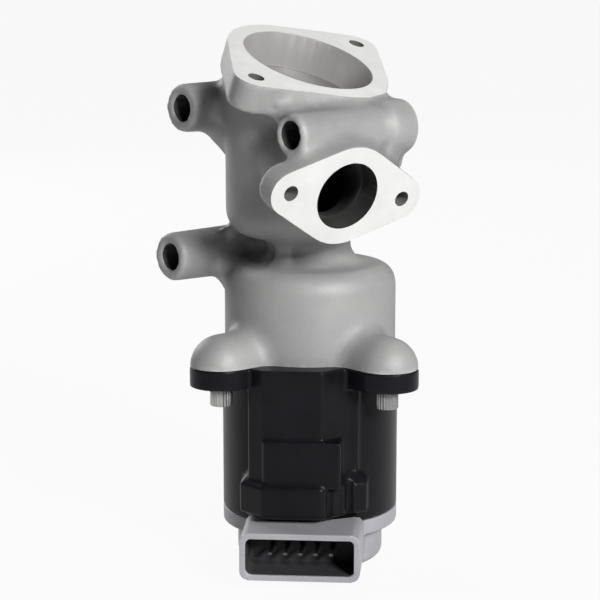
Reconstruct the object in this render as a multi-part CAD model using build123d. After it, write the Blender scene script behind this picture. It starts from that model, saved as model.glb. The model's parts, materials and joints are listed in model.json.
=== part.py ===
from build123d import *
from math import cos, radians, sin
import os

os.makedirs("parts", exist_ok=True)

# The valve stands on the flat base of its end cap, with the valve axis along +Z and the connector
# facing -Y. Azimuths are turned from the connector towards +X. All lengths are in millimetres.

# Fits
sliding_gap = 0.05
seat_gap = 0.10
slot_gap = 0.15

# Heights of the main joints
joint_height = 69.0
cap_height = 12.5

# Casting: bell over the motor
bell_radius = 28.0
bell_height = 29.5
bell_corner = 6.5
bell_wall = 3.5
bell_roof = 7.5

# Lugs and their screws
lug_azimuths = (-45.0, 45.0, 180.0)
lug_circle_radius = 37.3
lug_radius = 10.0
lug_crease = 4.0
ear_thickness = 6.5
lug_screw_radius = 2.5
lug_thread_depth = 7.0
limiter_wall = 1.4
lug_head_radius = 3.9
lug_head_height = 5.6
lug_socket_radius = 1.6
lug_socket_depth = 2.2
lug_washer_radius = 5.0
lug_washer_thickness = 1.0

# Casting: neck and gas chamber
neck_radius = 13.0
neck_flare = 6.5
neck_height = 8.5
column_radius = 23.0
column_offset = -4.5
column_corner = 9.0
chamber_radius = 17.0
chamber_offset = -3.0
chamber_floor = 4.0

# Valve seat and poppet
seat_drop = 1.2
seat_height = 72.0
seat_thickness = 4.5
seat_outer_radius = 17.0
seat_bore_radius = 12.0
seat_bevel = 2.0
seat_shelf = 2.5
poppet_gap = 0.15
poppet_rim = 2.0
poppet_land = 0.5
stem_radius = 3.0

# Outlet flange, tilted over the chamber
outlet_height = 95.0
outlet_shift = -0.6
outlet_azimuth = 50.0
outlet_tilt = 22.5
outlet_bore_radius = 21.5
outlet_bore_depth = 12.0
outlet_wall = 5.5
outlet_thickness = 10.0
outlet_bolt_azimuth = -22.6
outlet_bolt_spacing = 66.0
outlet_lobe_radius = 7.3
outlet_thread_radius = 2.6
outlet_elbow_wall = 4.5
elbow_height = 62.0
flange_crease = 3.0
throat_rise = 1.5

# Inlet flange and duct
inlet_centre = (14.1, -36.0)
inlet_height = 55.7
inlet_azimuth = 38.5
inlet_dip = 19.0
inlet_roll = -7.0
inlet_bore_radius = 11.0
inlet_wall = 5.5
inlet_thickness = 8.0
inlet_bolt_spacing = 43.0
inlet_lobe_radius = 7.3
inlet_thread_radius = 2.5
duct_bore_radius = 9.25
duct_wall = 4.6
duct_length = 38.0
duct_end_height = 56.5
duct_crease = 4.0

# Engine bolt tubes: side offset, height over the joint (the upper one under the outlet's centre), length in
# front of the axis and behind it
tube_azimuth = -45.0
tube_side = 27.0
tube_end_radius = 7.9
tube_root_radius = 8.9
tube_bore_radius = 4.4
front_tube_height = 74.8
front_tube_reach = 32.0
front_tube_back = 14.0
front_end_radius = 6.8
front_root_radius = 7.2
front_collar_length = 10.0
upper_tube_drop = 15.6
upper_tube_reach = 32.2
lower_tube_height = 31.4
lower_tube_reach = 37.5
rear_tube_back = 24.0
web_thickness = 7.0
web_inset = 2.5
web_overlap = 1.0
upper_web_reach = 24.0
upper_web_foot_reach = 3.0
upper_web_foot = 52.5
front_web_reach = 12.0
front_web_foot = 54.0
front_web_step = 7.0
lower_web_reach = 19.0
lower_web_foot_reach = 12.0
lower_web_foot = 14.0
saddle_step = 0.5
saddle_shift = 3.0
saddle_crease = 4.0
rib_azimuth = -31.0
rib_reach = 19.0
rib_thickness = 5.0
rib_undercut = 3.0
rib_toe = 6.0
rib_height = 24.0

# Stem guide, seal and return spring
bush_outer_radius = 6.0
bush_length = 16.5
stem_seal_height = 2.0
spring_wire_radius = 0.75
spring_mean_radius = 6.6
spring_turns = 4.5
spring_washer_radius = 8.0
spring_washer_thickness = 1.2
retainer_radius = 7.9
retainer_thickness = 2.2
retainer_drop = 19.0
clip_thickness = 0.8
clip_radius = 4.6
clip_groove_depth = 0.3

# Cam drive: the rotor's helical slots lift the cross pin, which the guide sleeve keeps from turning
valve_lift = 7.0
cam_turn = 80.0
pin_drop = 12.0
pin_radius = 1.6
roller_radius = 2.75
spacer_radius = 2.25
rotor_inner_radius = 8.7
rotor_wall = 2.5
rotor_top_rise = 8.0
rotor_core_wall = 1.8
magnet_thickness = 2.1
magnet_count = 4
magnet_span = 78.0
journal_radius = 9.5
journal_bore_radius = 6.0
guide_wall = 2.5
bush_wall = 0.9
upper_bush_length = 5.5
bush_recess = 0.5
guide_flange_radius = 21.0
guide_flange_thickness = 2.5
guide_screw_radius = 1.5
guide_screw_circle = 17.8
guide_screw_count = 3
guide_screw_depth = 4.0
guide_tail = 3.0
guide_head_radius = 2.7
guide_head_height = 1.5

# Motor housing
housing_radius = 28.8
housing_wall = 2.8
housing_lid = 3.0
spigot_height = 4.0
spigot_gap = 0.2
spigot_wall = 2.8
o_ring_radius = 0.95
front_root = 15.0
panel_front = 34.5
panel_left = 12.3
panel_right = 6.5
panel_side = 17.5
panel_left_chamfer = 4.25
panel_chamfer = 8.5
panel_bevel = 2.5
panel_bevel_depth = 1.0
panel_tail = 1.0
box_front = 35.5
box_width = 24.6
box_rise = 11.1
block_front = 36.8
block_side = 20.3
block_rise = 4.4
block_height = 13.5
block_bevel = 4.0
block_left_chamfer = 7.5
block_chamfer = 10.0
block_facet = 5.4
block_taper = 38.0
flute_radius = 1.5
first_flute = 0.45
second_flute = 0.35

# Stator
core_bottom_rise = 6.0
core_headroom = 1.35
core_yoke = 4.4
air_gap = 0.5
pole_count = 4
pole_width = 9.0
pole_shoe = 2.0
pole_shoe_span = 68.0
bobbin_wall = 0.8
coil_thickness = 2.6

# Bearing plate and lower rotor bush
plate_thickness = 3.5
lower_bush_wall = 2.5
lower_bush_flange = 0.5
terminal_slot_gap = 0.5

# End cap
cap_rim_thickness = 4.8
cap_radius = 24.0
cap_wall = 2.5
cap_floor = 2.5
cap_corner = 3.0
cap_spigot_height = 2.0
cap_spigot_wall = 2.4
cap_seal_radius = 0.75

# Connector
socket_width = 38.0
socket_height = 15.4
socket_bottom = 4.0
socket_reach = 45.0
socket_wall = 1.9
socket_depth = 15.0
socket_corner = 3.0
pin_count = 5
pin_pitch = 4.8
blade_width = 1.2
blade_thickness = 0.8
blade_exposed = 11.0

# Position sensor
board_thickness = 1.6
board_radius = 20.8
board_edge = 4.0
board_post_height = 2.5
board_post_radius = 2.5
board_post_count = 4
chip_size = 5.0
chip_height = 1.6
sensor_gap = 1.3
sensor_magnet_radius = 4.5
sensor_magnet_height = 2.5
carrier_rim = 1.0
journal_overhang = 1.0
terminal_width = 2.0
terminal_thickness = 0.8
terminal_side = 4.0
terminal_back = 19.2

# Worked out from the sizes above
bell_top = joint_height + bell_height
bell_ceiling = bell_top - bell_roof
bell_bore_radius = bell_radius - bell_wall
column_bottom = bell_top + neck_height
elbow_bottom = joint_height + elbow_height
upper_tube_height = outlet_height - upper_tube_drop
chamber_bottom = column_bottom + chamber_floor
seat_top = joint_height + seat_height
seat_bottom = seat_top - seat_thickness
chamber_top = seat_bottom - seat_shelf
ear_bottom = joint_height - ear_thickness
cap_rim_top = cap_height + cap_rim_thickness
limiter_bore_radius = lug_screw_radius + slot_gap
limiter_radius = limiter_bore_radius + limiter_wall
rotor_radius = rotor_inner_radius + rotor_wall
rotor_core_radius = rotor_radius + rotor_core_wall
magnet_radius = rotor_core_radius + magnet_thickness
core_inner_radius = magnet_radius + air_gap
housing_inner_radius = housing_radius - housing_wall
core_outer_radius = housing_inner_radius - seat_gap
guide_inner_radius = rotor_radius + sliding_gap + bush_wall + sliding_gap
guide_radius = guide_inner_radius + guide_wall
pin_height = joint_height - pin_drop
rotor_top = joint_height + rotor_top_rise
retainer_top = bell_ceiling - retainer_drop
retainer_bottom = retainer_top - retainer_thickness
clip_bottom = retainer_bottom - clip_thickness
cam_lead = valve_lift * 360 / cam_turn
cam_mean_radius = (rotor_inner_radius + rotor_radius) / 2
cap_spigot_top = cap_rim_top + cap_spigot_height
plate_bottom = cap_spigot_top + seat_gap
plate_top = plate_bottom + plate_thickness
shoulder_height = plate_top + lower_bush_flange + sliding_gap
journal_bottom = plate_bottom - journal_overhang
guide_bottom = pin_height - pin_radius - slot_gap - guide_tail
core_bottom = plate_top + core_bottom_rise
core_top = guide_bottom - core_headroom
core_middle = (core_bottom + core_top) / 2
core_height = core_top - core_bottom
block_bottom = cap_rim_top + block_rise
block_shoulder = block_bottom + block_height - block_bevel
board_bottom = cap_floor + board_post_height
board_top = board_bottom + board_thickness
magnet_bottom = board_top + chip_height + sensor_gap
magnet_top = magnet_bottom + sensor_magnet_height
socket_mid = socket_bottom + socket_height / 2
blade_foot = board_radius - board_edge


def azimuth(angle):
    return Vector(sin(radians(angle)), -cos(radians(angle)), 0)


def leaning(angle, tilt):
    level = azimuth(angle)
    return Vector(sin(radians(tilt)) * level.X, sin(radians(tilt)) * level.Y, cos(radians(tilt)))


def disc(radius, bottom, top):
    return Pos(0, 0, bottom) * Cylinder(radius, top - bottom, align=(Align.CENTER, Align.CENTER, Align.MIN))


def ring(outer, inner, bottom, top):
    return disc(outer, bottom, top) - disc(inner, bottom, top)


def rod(start, direction, length, radius, end_radius=None):
    place = Plane(origin=start, z_dir=direction)
    align = (Align.CENTER, Align.CENTER, Align.MIN)
    if end_radius is None:
        return place * Cylinder(radius, length, align=align)
    return place * Cone(radius, end_radius, length, align=align)


def lug_point(angle, height):
    spot = azimuth(angle) * lug_circle_radius
    return Vector(spot.X, spot.Y, height)


def flange_outline(centre_radius, lobe_radius, spacing):
    circles = [Circle(centre_radius)]
    for side in (-1, 1):
        circles.append(Pos(side * spacing / 2, 0) * Circle(lobe_radius))
    return make_hull([edge for circle in circles for edge in circle.edges()])


def outlet_place():
    normal = leaning(outlet_azimuth, outlet_tilt)
    level = azimuth(outlet_bolt_azimuth)
    along = level - normal * level.dot(normal)
    return Plane(origin=(outlet_shift, 0, joint_height + outlet_height), x_dir=along, z_dir=normal)


def inlet_place():
    normal = leaning(inlet_azimuth, 90 + inlet_dip)
    level = Vector(0, 0, 1).cross(normal).normalized()
    along = level.rotate(Axis((0, 0, 0), normal), inlet_roll)
    origin = (inlet_centre[0], inlet_centre[1], joint_height + inlet_height)
    return Plane(origin=origin, x_dir=along, z_dir=normal)


def tube_start(side, height, back):
    spot = azimuth(tube_azimuth + 90) * (side * tube_side) - azimuth(tube_azimuth) * back
    return Vector(spot.X, spot.Y, joint_height + height)


tubes = (
    (1, front_tube_height, front_tube_reach, front_tube_back, front_root_radius, front_end_radius),
    (-1, upper_tube_height, upper_tube_reach, rear_tube_back, tube_root_radius, tube_end_radius),
    (-1, lower_tube_height, lower_tube_reach, rear_tube_back, tube_root_radius, tube_end_radius),
)


def tube_holes():
    direction = azimuth(tube_azimuth)
    holes = []
    for side, height, reach, back, *radii in tubes:
        holes.append(rod(tube_start(side, height, back), direction, back + reach, tube_bore_radius))
    return holes


def duct_ends():
    place = inlet_place()
    start = place.origin - place.z_dir * (inlet_thickness - 1)
    end = Vector(chamber_offset, 0, joint_height + duct_end_height)
    return start, end


def lies_under(edge, place, depth):
    return abs((edge.position_at(0.5) - place.origin).dot(place.z_dir) + depth) < sliding_gap


def motor_bell():
    bell = disc(bell_radius, joint_height, bell_top)
    bell = fillet(bell.edges().group_by(Axis.Z)[-1], bell_corner)
    for angle in lug_azimuths:
        centre = lug_point(angle, joint_height)
        dome = Pos(*centre) * Sphere(lug_radius)
        saddle = rod(Vector(0, 0, joint_height), azimuth(angle), lug_circle_radius, lug_radius)
        bell += (dome + saddle) & disc(2 * lug_circle_radius, joint_height, bell_top)
    creases = [
        edge for edge in bell.edges().filter_by(GeomType.BSPLINE)
        if edge.position_at(0.5).Z > joint_height + sliding_gap]
    return fillet(creases, lug_crease)


def neck():
    root = neck_radius + neck_flare
    with BuildPart() as part:
        with BuildSketch(Plane.XZ):
            with BuildLine():
                low = Line((0, bell_top - 1), (root, bell_top - 1))
                step = Line(low @ 1, (root, bell_top))
                flare = RadiusArc(step @ 1, (neck_radius, bell_top + neck_flare), neck_flare)
                side = Line(flare @ 1, (neck_radius, chamber_bottom))
                top = Line(side @ 1, (0, chamber_bottom))
                Line(top @ 1, low @ 0)
            make_face()
        revolve(axis=Axis.Z)
    return part.part


def gas_body():
    place = outlet_place()
    column = Pos(column_offset, 0, 0) * disc(column_radius, column_bottom, elbow_bottom)
    column = fillet(column.edges().group_by(Axis.Z)[0], column_corner)
    outline = flange_outline(outlet_bore_radius + outlet_wall, outlet_lobe_radius, outlet_bolt_spacing)
    plate = extrude(place * outline, -outlet_thickness)
    level = Vector(place.x_dir.X, place.x_dir.Y, 0)
    low = Plane(origin=(column_offset, 0, elbow_bottom), x_dir=level, z_dir=(0, 0, 1))
    high_origin = place.origin - place.z_dir * (outlet_thickness - 1)
    high = Plane(origin=high_origin, x_dir=place.x_dir, z_dir=place.z_dir)
    elbow = loft([low * Circle(column_radius), high * Circle(outlet_bore_radius + outlet_elbow_wall)])
    body = column + elbow + plate
    creases = [
        edge for edge in body.edges().filter_by(GeomType.BSPLINE)
        if lies_under(edge, place, outlet_thickness) and edge.length > 2 * column_radius]
    return fillet(creases, flange_crease)


def inlet_flange():
    place = inlet_place()
    outline = flange_outline(inlet_bore_radius + inlet_wall, inlet_lobe_radius, inlet_bolt_spacing)
    plate = extrude(place * outline, -inlet_thickness)
    radius = duct_bore_radius + duct_wall
    body = plate + rod(place.origin - place.z_dir, place.z_dir * -1, duct_length, radius)
    creases = [
        edge for edge in body.edges().filter_by(GeomType.CIRCLE)
        if lies_under(edge, place, inlet_thickness) and abs(edge.radius - radius) < sliding_gap]
    return fillet(creases, duct_crease)


def engine_tubes():
    direction = azimuth(tube_azimuth)
    across = azimuth(tube_azimuth + 90)
    bodies = []
    for side, height, reach, back, root_radius, end_radius in tubes:
        root = tube_start(side, height, back)
        tube = rod(root, direction, back + reach, root_radius, end_radius)
        start = Vector(0, 0, joint_height + height) + direction * saddle_shift
        saddle = rod(start, across * side, tube_side, end_radius - saddle_step)
        body = tube + saddle
        creases = body.edges().filter_by(GeomType.BSPLINE)
        bodies.append(fillet(creases, saddle_crease))
    collar_start = tube_start(1, front_tube_height, front_tube_back)
    bodies.append(rod(collar_start, direction, front_collar_length, tube_root_radius))
    return bodies


def tube_web(side, inward, points):
    across = azimuth(tube_azimuth + 90) * (side * (tube_side - inward))
    along = azimuth(tube_azimuth)
    corners = [Vector(across.X, across.Y, joint_height + height) + along * reach for reach, height in points]
    face = make_face(Polyline(*corners, close=True))
    return extrude(face, web_thickness / 2, dir=azimuth(tube_azimuth + 90), both=True)


def webs():
    under_upper = upper_tube_height - tube_end_radius + web_overlap
    under_front = front_tube_height - front_end_radius + web_overlap
    under_lower = lower_tube_height - tube_end_radius + web_overlap
    ribs = [
        tube_web(-1, web_inset, [
            (-rear_tube_back, under_upper), (upper_web_reach, under_upper),
            (upper_web_foot_reach, upper_web_foot), (-rear_tube_back, upper_web_foot)]),
        tube_web(1, web_inset, [
            (-front_tube_back, under_front), (front_web_reach, under_front),
            (front_web_reach, front_web_foot), (0, front_web_foot),
            (-front_tube_back, front_web_foot + front_web_step)]),
        tube_web(-1, web_inset, [
            (-rear_tube_back, under_lower), (lower_web_reach, under_lower),
            (lower_web_foot_reach, lower_web_foot), (-rear_tube_back, lower_web_foot)]),
    ]
    outward = azimuth(rib_azimuth)
    foot = bell_top - web_overlap
    corners = [
        (0, foot), (rib_reach, foot), (rib_reach - rib_undercut, foot + rib_toe),
        (rib_reach, foot + rib_height), (0, foot + rib_height)]
    points = [outward * reach + Vector(0, 0, height) for reach, height in corners]
    profile = make_face(Polyline(*points, close=True))
    ribs.append(extrude(profile, rib_thickness / 2, dir=azimuth(rib_azimuth + 90), both=True))
    return ribs


def gas_passages():
    outlet = outlet_place()
    inlet = inlet_place()
    chamber = Pos(chamber_offset, 0, 0) * disc(chamber_radius, chamber_bottom, chamber_top)
    chamber = fillet(chamber.edges().group_by(Axis.Z)[0], chamber_floor)
    gate = disc(seat_bore_radius + seat_drop, chamber_top - 1, seat_bottom)
    pocket = disc(seat_outer_radius, seat_bottom, seat_top + throat_rise)
    upper = outlet.origin - outlet.z_dir * outlet_bore_depth
    bore = rod(upper, outlet.z_dir, outlet_bore_depth + 1, outlet_bore_radius)
    wide = Plane(origin=upper, x_dir=outlet.x_dir, z_dir=outlet.z_dir) * Circle(outlet_bore_radius)
    low_x = Vector(outlet.x_dir.X, outlet.x_dir.Y, 0)
    low = Plane(origin=(0, 0, seat_top + throat_rise), x_dir=low_x, z_dir=(0, 0, 1))
    throat = loft([low * Circle(seat_outer_radius), wide])
    start, end = duct_ends()
    duct = rod(start, end - start, (end - start).length, duct_bore_radius)
    mouth_start = inlet.origin - inlet.z_dir * inlet_thickness
    mouth = rod(mouth_start, inlet.z_dir, inlet_thickness + 1, inlet_bore_radius)
    return [chamber, gate, pocket, bore, throat, duct, mouth]


def flange_holes():
    holes = []
    for place, spacing, radius, thickness in (
            (outlet_place(), outlet_bolt_spacing, outlet_thread_radius, outlet_thickness),
            (inlet_place(), inlet_bolt_spacing, inlet_thread_radius, inlet_thickness)):
        for side in (-1, 1):
            start = place.origin + place.x_dir * (side * spacing / 2) - place.z_dir * (thickness + 1)
            holes.append(rod(start, place.z_dir, thickness + 2, radius))
    return holes


def guide_screw_spots():
    turn = 360 / guide_screw_count
    return [azimuth(turn * index) * guide_screw_circle for index in range(guide_screw_count)]


def valve_housing():
    body = motor_bell() + neck() + gas_body() + inlet_flange()
    for added in engine_tubes() + webs():
        body += added
    body -= disc(bell_bore_radius, joint_height, bell_ceiling)
    for cut in gas_passages():
        body -= cut
    body -= disc(bush_outer_radius, bell_ceiling, chamber_bottom + 1)
    for cut in tube_holes() + flange_holes():
        body -= cut
    up = Vector(0, 0, 1)
    for angle in lug_azimuths:
        body -= rod(lug_point(angle, joint_height), up, lug_thread_depth + 1, lug_screw_radius)
    for spot in guide_screw_spots():
        start = Vector(spot.X, spot.Y, bell_ceiling)
        body -= rod(start, up, guide_screw_depth + 1, guide_screw_radius)
    return body


def valve_seat():
    seat = ring(seat_outer_radius, seat_bore_radius, seat_bottom, seat_top)
    return chamfer(seat.edges().group_by(Axis.Z)[-1].sort_by(SortBy.RADIUS)[0], seat_bevel)


def stem_guide_bush():
    return ring(bush_outer_radius, stem_radius + sliding_gap, bell_ceiling, bell_ceiling + bush_length)


def stem_seal():
    bottom = bell_ceiling + bush_length
    return ring(bush_outer_radius, stem_radius + sliding_gap, bottom, bottom + stem_seal_height)


def spring_seat_washer():
    bottom = bell_ceiling - spring_washer_thickness
    return ring(spring_washer_radius, stem_radius + slot_gap, bottom, bell_ceiling)


def return_spring():
    low = retainer_top + spring_wire_radius
    high = bell_ceiling - spring_washer_thickness - spring_wire_radius
    path = Pos(0, 0, low) * Helix((high - low) / spring_turns, high - low, spring_mean_radius)
    section = Plane(origin=path @ 0, z_dir=path % 0) * Circle(spring_wire_radius)
    return sweep(section, path=path, is_frenet=True)


def spring_retainer():
    return ring(retainer_radius, stem_radius + sliding_gap, retainer_bottom, retainer_top)


def retainer_clip():
    clip = ring(clip_radius, stem_radius - clip_groove_depth, clip_bottom, retainer_bottom)
    gap = Pos(0, -clip_radius, retainer_bottom) * Box(stem_radius, 2 * clip_radius, 4 * clip_thickness)
    return clip - gap


def valve_stem():
    top = seat_top + poppet_rim
    stem = disc(stem_radius, pin_height - 2 * stem_radius, top)
    groove = ring(stem_radius + 1, stem_radius - clip_groove_depth, clip_bottom, retainer_bottom)
    hole = rod(Vector(-2 * stem_radius, 0, pin_height), Vector(1, 0, 0), 4 * stem_radius, pin_radius)
    return stem - groove - hole


def poppet_disc():
    rim = seat_bore_radius + seat_bevel - poppet_gap * 2 ** 0.5
    low = rim - seat_bevel - poppet_land
    bottom = seat_top - seat_bevel - poppet_land
    with BuildPart() as part:
        with BuildSketch(Plane.XZ):
            Polygon(
                (stem_radius, bottom), (low, bottom), (rim, seat_top), (rim, seat_top + poppet_rim),
                (stem_radius, seat_top + poppet_rim), align=None)
        revolve(axis=Axis.Z)
    return part.part


def guide_sleeve():
    flange_bottom = bell_ceiling - guide_flange_thickness
    sleeve = ring(guide_radius, guide_inner_radius, guide_bottom, bell_ceiling)
    sleeve += ring(guide_flange_radius, guide_inner_radius, flange_bottom, bell_ceiling)
    reach = 2 * guide_radius + 2
    start = Vector(-reach / 2, 0, pin_height)
    for height in (0, valve_lift):
        sleeve -= rod(start + Vector(0, 0, height), Vector(1, 0, 0), reach, pin_radius + slot_gap)
    sleeve -= Pos(0, 0, pin_height + valve_lift / 2) * Box(reach, 2 * (pin_radius + slot_gap), valve_lift)
    hole = disc(guide_screw_radius + sliding_gap, flange_bottom, bell_ceiling)
    for spot in guide_screw_spots():
        sleeve -= Pos(spot.X, spot.Y, 0) * hole
    return sleeve


def guide_screws():
    screws = []
    under = bell_ceiling - guide_flange_thickness
    screw = disc(guide_screw_radius, under, bell_ceiling + guide_screw_depth)
    screw += disc(guide_head_radius, under - guide_head_height, under)
    for spot in guide_screw_spots():
        screws.append(Pos(spot.X, spot.Y, 0) * screw)
    return Compound(children=screws)


def upper_rotor_bush():
    top = rotor_top - bush_recess
    return ring(guide_inner_radius, rotor_radius + sliding_gap, top - upper_bush_length, top)


def cam_slot():
    half_width = roller_radius + slot_gap
    depth = 2 * rotor_wall
    path = Helix(cam_lead, valve_lift, cam_mean_radius, lefthand=True)
    section = Plane(origin=path @ 0, x_dir=(1, 0, 0), z_dir=path % 0) * Rectangle(depth, 2 * half_width)
    slot = sweep(section, path=path, is_frenet=True)
    end = Pos(cam_mean_radius, 0, 0) * Rot(0, 90, 0) * Cylinder(half_width, depth)
    slot += end + Rot(0, 0, -cam_turn) * Pos(0, 0, valve_lift) * end
    return Pos(0, 0, pin_height) * slot


def rotor_sleeve():
    sleeve = ring(rotor_radius, rotor_inner_radius, shoulder_height, rotor_top)
    sleeve += ring(journal_radius, journal_bore_radius, journal_bottom, shoulder_height + rotor_wall)
    slot = cam_slot()
    return sleeve - slot - Rot(0, 0, 180) * slot


def rotor_core():
    return ring(rotor_core_radius, rotor_radius, core_bottom, core_top)


def sector(outer, inner, bottom, top, span, angle):
    points = []
    for turn in (angle - span / 2, angle + span / 2):
        points.append((2 * outer * cos(radians(turn)), 2 * outer * sin(radians(turn))))
    wedge = extrude(make_face(Polyline((0, 0), points[0], points[1], close=True)), top - bottom)
    return ring(outer, inner, bottom, top) & (Pos(0, 0, bottom) * wedge)


def rotor_magnets():
    turn = 360 / magnet_count
    return Compound(children=[
        sector(magnet_radius, rotor_core_radius, core_bottom, core_top, magnet_span, turn * index)
        for index in range(magnet_count)])


def magnet_carrier():
    plug = disc(journal_bore_radius, journal_bottom, shoulder_height)
    return plug + disc(journal_radius - carrier_rim, magnet_top, journal_bottom)


def sensor_magnet():
    return disc(sensor_magnet_radius, magnet_bottom, magnet_top)


def pole_angles():
    return [360 / pole_count * (index + 0.5) for index in range(pole_count)]


def stator_core():
    core = ring(core_outer_radius, core_outer_radius - core_yoke, core_bottom, core_top)
    bounds = ring(core_outer_radius - 1, core_inner_radius, core_bottom, core_top)
    shoe_radius = core_inner_radius + pole_shoe
    for angle in pole_angles():
        arm = Pos(core_outer_radius / 2, 0, core_middle) * Box(core_outer_radius, pole_width, core_height)
        core += (Rot(0, 0, angle) * arm) & bounds
        core += sector(shoe_radius, core_inner_radius, core_bottom, core_top, pole_shoe_span, angle)
    return core


def winding(inner_grow, outer_grow):
    start = core_inner_radius + pole_shoe + sliding_gap
    end = core_outer_radius - core_yoke - 2 * slot_gap
    place = Pos((start + end) / 2, 0, core_middle)
    outer = Box(end - start, pole_width + 2 * outer_grow, core_height + 2 * outer_grow)
    outer = fillet(outer.edges().filter_by(Axis.X), outer_grow)
    inner = Box(end - start, pole_width + 2 * inner_grow, core_height + 2 * inner_grow)
    yoke_radius = core_outer_radius - core_yoke - slot_gap
    clear = disc(yoke_radius, core_bottom - 2 * coil_thickness, core_top + 2 * coil_thickness)
    coil = (place * (outer - inner) & clear) - disc(start, core_bottom, core_top)
    return Compound(children=[Rot(0, 0, angle) * coil for angle in pole_angles()])


def coil_bobbins():
    return winding(0, bobbin_wall)


def stator_coils():
    return winding(bobbin_wall, bobbin_wall + coil_thickness)


def bearing_plate():
    bore = journal_radius + sliding_gap + lower_bush_wall
    plate = ring(housing_inner_radius - seat_gap, bore, plate_bottom, plate_top)
    for side in (-1, 1):
        spot = Pos(side * terminal_side, terminal_back, plate_bottom)
        width = terminal_width + 2 * terminal_slot_gap
        plate -= spot * Box(width, terminal_thickness + 2 * terminal_slot_gap, 3 * plate_thickness)
    return plate


def lower_rotor_bush():
    inner = journal_radius + sliding_gap
    bush = ring(inner + lower_bush_wall, inner, plate_bottom, plate_top)
    return bush + ring(inner + lower_bush_wall, inner, plate_top, plate_top + lower_bush_flange)


def front_panel():
    outline = [
        (-panel_left, -panel_front), (panel_right, -panel_front),
        (panel_side - panel_bevel, panel_chamfer - panel_front),
        (panel_side, panel_chamfer + panel_bevel_depth - panel_front), (panel_side, -front_root),
        (-panel_side, -front_root), (-panel_side, panel_left_chamfer - panel_front)]
    bottom = block_bottom - panel_tail
    return Pos(0, 0, bottom) * extrude(make_face(Polyline(*outline, close=True)), joint_height - bottom)


def front_block():
    right = [
        Vector(panel_right, -block_front), Vector(panel_right + block_facet, block_facet - block_front),
        Vector(block_side, block_chamfer - block_front)]
    left = [
        Vector(block_side, -front_root), Vector(-block_side, -front_root),
        Vector(-block_side, block_left_chamfer - block_front), Vector(-panel_left, -block_front)]
    face = make_face(Polyline(*right, *left, close=True))
    block = Pos(0, 0, block_bottom) * extrude(face, block_height - block_bevel)
    block += Pos(0, 0, block_shoulder) * extrude(face, block_bevel, taper=block_taper)
    flute = disc(flute_radius, block_bottom - panel_tail, block_bottom + block_height)
    for start, end, share in ((right[0], right[1], first_flute), (right[1], right[2], second_flute)):
        block -= Pos(*(start + (end - start) * share)) * flute
    return block


def front_box():
    reach = box_front - front_root
    height = block_bevel + box_rise
    return Pos(0, -front_root - reach / 2, block_shoulder + height / 2) * Box(box_width, reach, height)


def motor_housing():
    body = disc(housing_radius, cap_rim_top, joint_height)
    body += front_panel() + front_block() + front_box()
    for angle in lug_azimuths:
        spot = lug_point(angle, 0)
        ear = Pos(spot.X, spot.Y, 0) * disc(lug_radius, ear_bottom, joint_height)
        arm = Rot(0, 0, angle) * Pos(0, -lug_circle_radius / 2, ear_bottom) * Box(
            2 * lug_radius, lug_circle_radius, ear_thickness, align=(Align.CENTER, Align.CENTER, Align.MIN))
        body += ear + arm
    spigot = bell_bore_radius - spigot_gap
    body += disc(spigot, joint_height, joint_height + spigot_height)
    body -= disc(housing_inner_radius, cap_rim_top, joint_height - housing_lid)
    body -= disc(spigot - spigot_wall, joint_height - housing_lid - 1, joint_height + spigot_height)
    groove_mid = joint_height + spigot_height / 2
    body -= ring(
        bell_bore_radius + 1, bell_bore_radius - 2 * o_ring_radius, groove_mid - o_ring_radius,
        groove_mid + o_ring_radius)
    for angle in lug_azimuths:
        body -= rod(lug_point(angle, ear_bottom), Vector(0, 0, 1), ear_thickness, limiter_radius)
    return body


def joint_seal():
    middle = joint_height + spigot_height / 2
    radius = o_ring_radius - sliding_gap
    return Pos(0, 0, middle) * Torus(bell_bore_radius - o_ring_radius - sliding_gap, radius)


def at_lugs(shape):
    children = []
    for angle in lug_azimuths:
        spot = lug_point(angle, 0)
        children.append(Pos(spot.X, spot.Y, 0) * shape)
    return Compound(children=children)


def compression_limiters():
    return at_lugs(ring(limiter_radius, limiter_bore_radius, ear_bottom, joint_height))


def screw_washers():
    bottom = ear_bottom - lug_washer_thickness
    return at_lugs(ring(lug_washer_radius, limiter_bore_radius, bottom, ear_bottom))


def motor_screws():
    seat = ear_bottom - lug_washer_thickness
    screw = disc(lug_screw_radius, seat, joint_height + lug_thread_depth) + disc(
        lug_head_radius, seat - lug_head_height, seat)
    socket = extrude(RegularPolygon(lug_socket_radius, 6), lug_socket_depth)
    screw -= Pos(0, 0, seat - lug_head_height) * socket
    return at_lugs(screw)


def socket_block(grow, front, back):
    width = socket_width - 2 * grow
    height = socket_height - 2 * grow
    outline = RectangleRounded(width, height, socket_corner - grow / 2)
    place = Plane(origin=(0, -front, socket_mid), x_dir=(1, 0, 0), z_dir=(0, 1, 0))
    return extrude(place * outline, front - back)


def connector_pins():
    middle = (pin_count - 1) / 2
    front = socket_reach - socket_depth + blade_exposed
    length = front - blade_foot
    rise = socket_mid - board_top
    pins = []
    for index in range(pin_count):
        x = (index - middle) * pin_pitch
        level = Pos(x, -blade_foot - length / 2, socket_mid) * Box(blade_width, length, blade_thickness)
        drop = Pos(x, -blade_foot, board_top + rise / 2) * Box(blade_width, blade_thickness, rise)
        pins.append(level + drop)
    return Compound(children=pins)


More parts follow.
